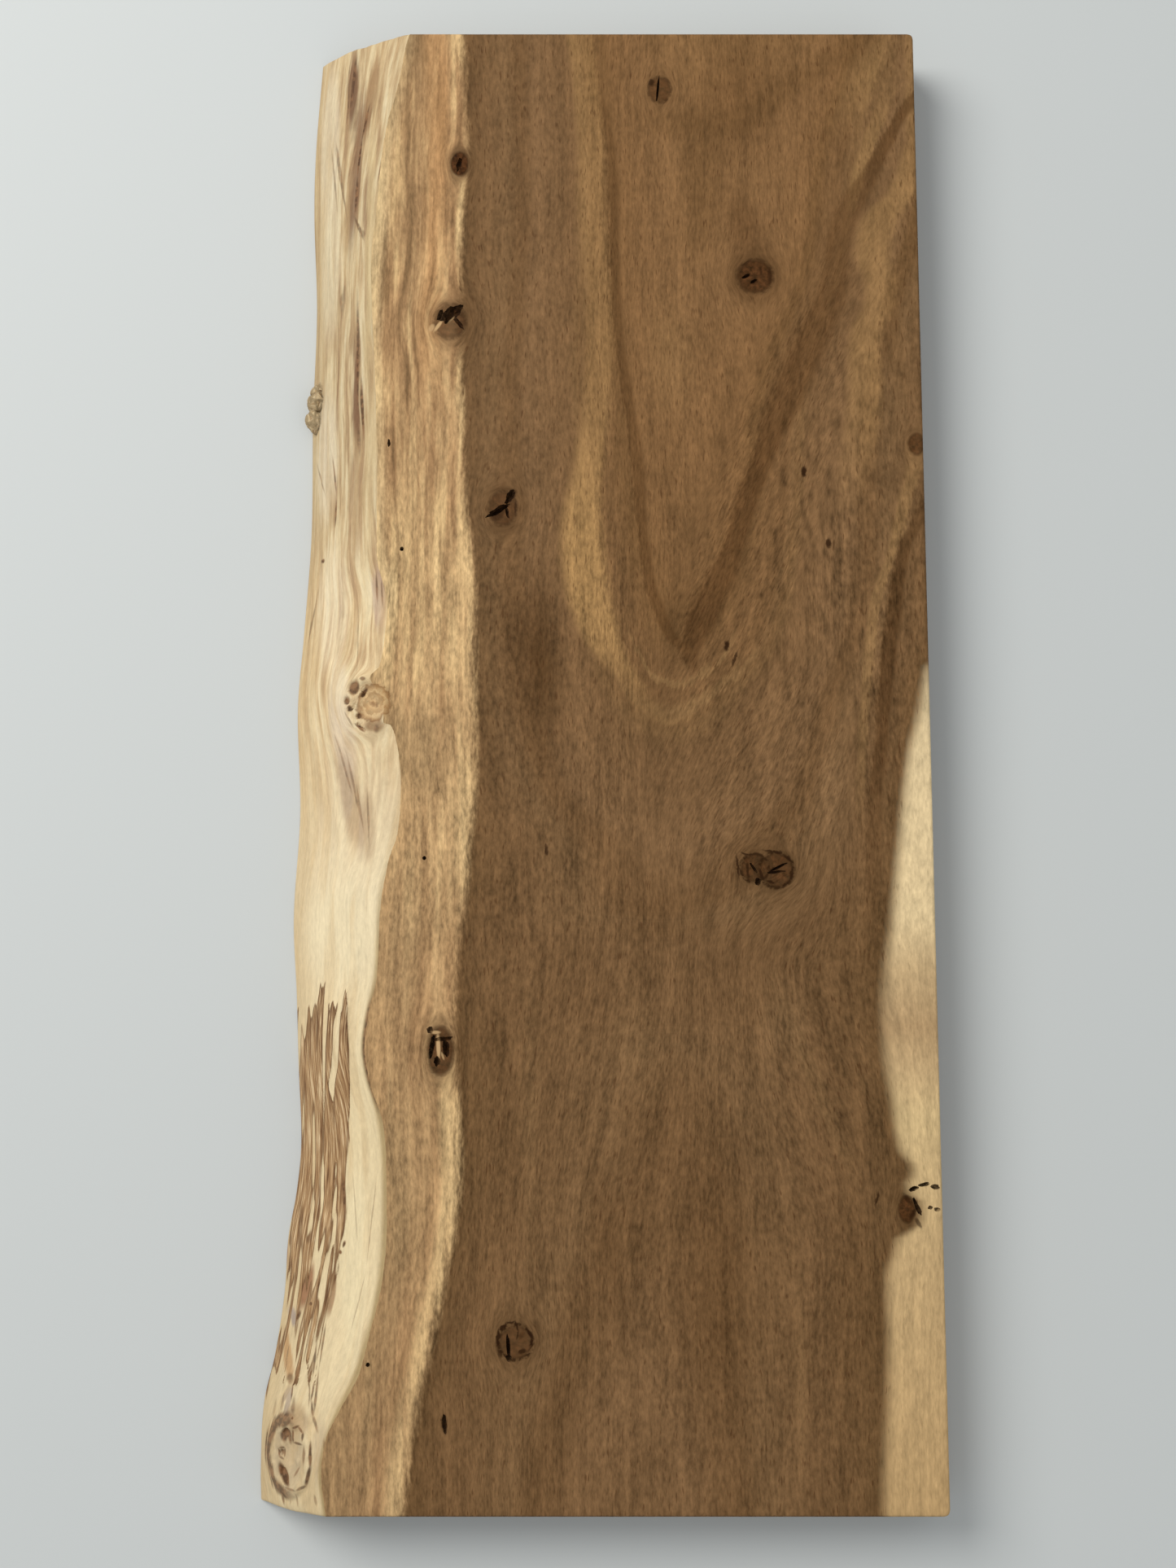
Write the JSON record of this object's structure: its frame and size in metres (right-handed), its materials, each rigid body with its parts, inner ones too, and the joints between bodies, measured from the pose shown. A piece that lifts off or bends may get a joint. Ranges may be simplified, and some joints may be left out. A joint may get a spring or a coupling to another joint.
{
  "type": "monkeypod slab",
  "caption": "Flat sawn wood slab with one natural live edge, knots and two-tone heartwood and sapwood, for a shelf, table top or sign board.",
  "frame": {"origin": "under the middle of the slab's bounding box, on the sawn back face", "axes": "+Z out of the front face, +Y along the grain to the top end, +X towards the sawn long edge"},
  "size_m": [0.3382, 0.762, 0.035],
  "materials": {
    "slab_wood": "smooth sanded wood with open grain, brown heartwood, pale sapwood and a cream natural edge"
  },
  "bodies": {
    "root": {"slab": "slab_wood"}
  },
  "joints": []
}
